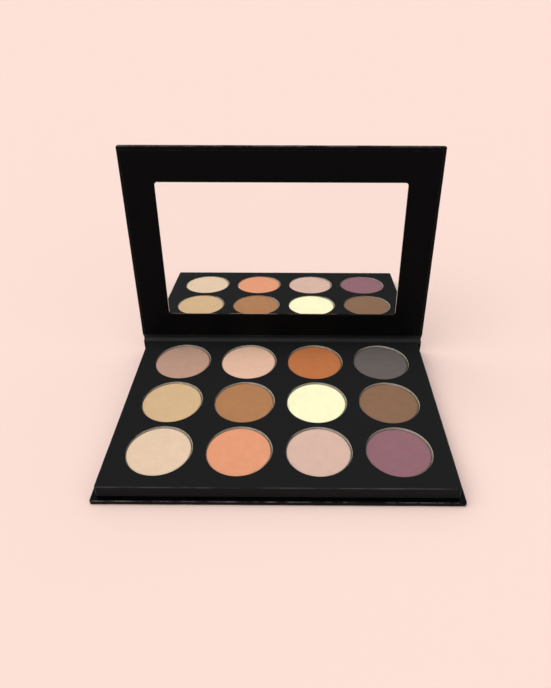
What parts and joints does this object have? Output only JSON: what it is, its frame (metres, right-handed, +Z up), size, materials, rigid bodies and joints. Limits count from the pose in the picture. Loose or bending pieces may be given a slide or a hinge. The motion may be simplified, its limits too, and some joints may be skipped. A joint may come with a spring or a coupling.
{
  "type": "eyeshadow palette",
  "caption": "Book-style eyeshadow palette: a glossy paper-wrapped cover folds round a tray of round powder pans, with a mirror inside its hinged lid.",
  "frame": {"origin": "under the middle of the base, on the surface that the palette lies on", "axes": "+X to the right along the front edge, +Y to the rear towards the spine, +Z up; the lid is drawn open at 93 degrees from closed, leaning back a little past upright"},
  "size_m": [0.143, 0.104, 0.1066],
  "materials": {
    "cover_paper": "gloss black laminated paper",
    "tray_paper": "matte black paper",
    "panel_paper": "satin black paper",
    "greyboard": "raw cut greyboard",
    "adhesive": "double-sided film",
    "magnet": "nickel plated",
    "pan_tin": "tinned steel",
    "mirror": "silvered",
    "powder_cream": "pressed powder",
    "powder_coral": "pressed powder",
    "powder_blush": "pressed powder",
    "powder_plum": "pressed powder",
    "powder_tan": "pressed powder",
    "powder_brown": "pressed powder",
    "powder_vanilla": "pressed powder",
    "powder_cocoa": "pressed powder",
    "powder_taupe": "pressed powder",
    "powder_peach": "pressed powder",
    "powder_copper": "pressed powder",
    "powder_charcoal": "pressed powder"
  },
  "bodies": {
    "base": {"base_wrap": "cover_paper", "spine_wrap": "cover_paper", "lower_crease": "cover_paper", "hinge_crease": "cover_paper", "tray_wrap": "tray_paper", "hinge_lining": "tray_paper", "base_board": "greyboard", "spine_board": "greyboard", "tray_floor": "greyboard", "well_board_lower": "greyboard", "well_board_upper": "greyboard", "tray_adhesive": "adhesive", "base_magnet_left": "magnet", "base_magnet_right": "magnet", "pan_cream": "pan_tin", "powder_cream": "powder_cream", "pan_adhesive_cream": "adhesive", "pan_coral": "pan_tin", "powder_coral": "powder_coral", "pan_adhesive_coral": "adhesive", "pan_blush": "pan_tin", "powder_blush": "powder_blush", "pan_adhesive_blush": "adhesive", "pan_plum": "pan_tin", "powder_plum": "powder_plum", "pan_adhesive_plum": "adhesive", "pan_tan": "pan_tin", "powder_tan": "powder_tan", "pan_adhesive_tan": "adhesive", "pan_brown": "pan_tin", "powder_brown": "powder_brown", "pan_adhesive_brown": "adhesive", "pan_vanilla": "pan_tin", "powder_vanilla": "powder_vanilla", "pan_adhesive_vanilla": "adhesive", "pan_cocoa": "pan_tin", "powder_cocoa": "powder_cocoa", "pan_adhesive_cocoa": "adhesive", "pan_taupe": "pan_tin", "powder_taupe": "powder_taupe", "pan_adhesive_taupe": "adhesive", "pan_peach": "pan_tin", "powder_peach": "powder_peach", "pan_adhesive_peach": "adhesive", "pan_copper": "pan_tin", "powder_copper": "powder_copper", "pan_adhesive_copper": "adhesive", "pan_charcoal": "pan_tin", "powder_charcoal": "powder_charcoal", "pan_adhesive_charcoal": "adhesive"},
    "lid": {"lid_wrap": "cover_paper", "lid_board": "greyboard", "lid_panel": "panel_paper", "lid_panel_adhesive": "adhesive", "mirror": "mirror", "mirror_adhesive": "adhesive", "lid_magnet_left": "magnet", "lid_magnet_right": "magnet"}
  },
  "joints": [
    {"name": "lid_hinge", "type": "hinge", "parent": "base", "child": "lid", "pos_m": [0, 0.04805, 0.00925], "axis": [-1, 0, 0], "range_deg": [-93, 87], "deforming": ["hinge_crease", "hinge_lining"]}
  ]
}
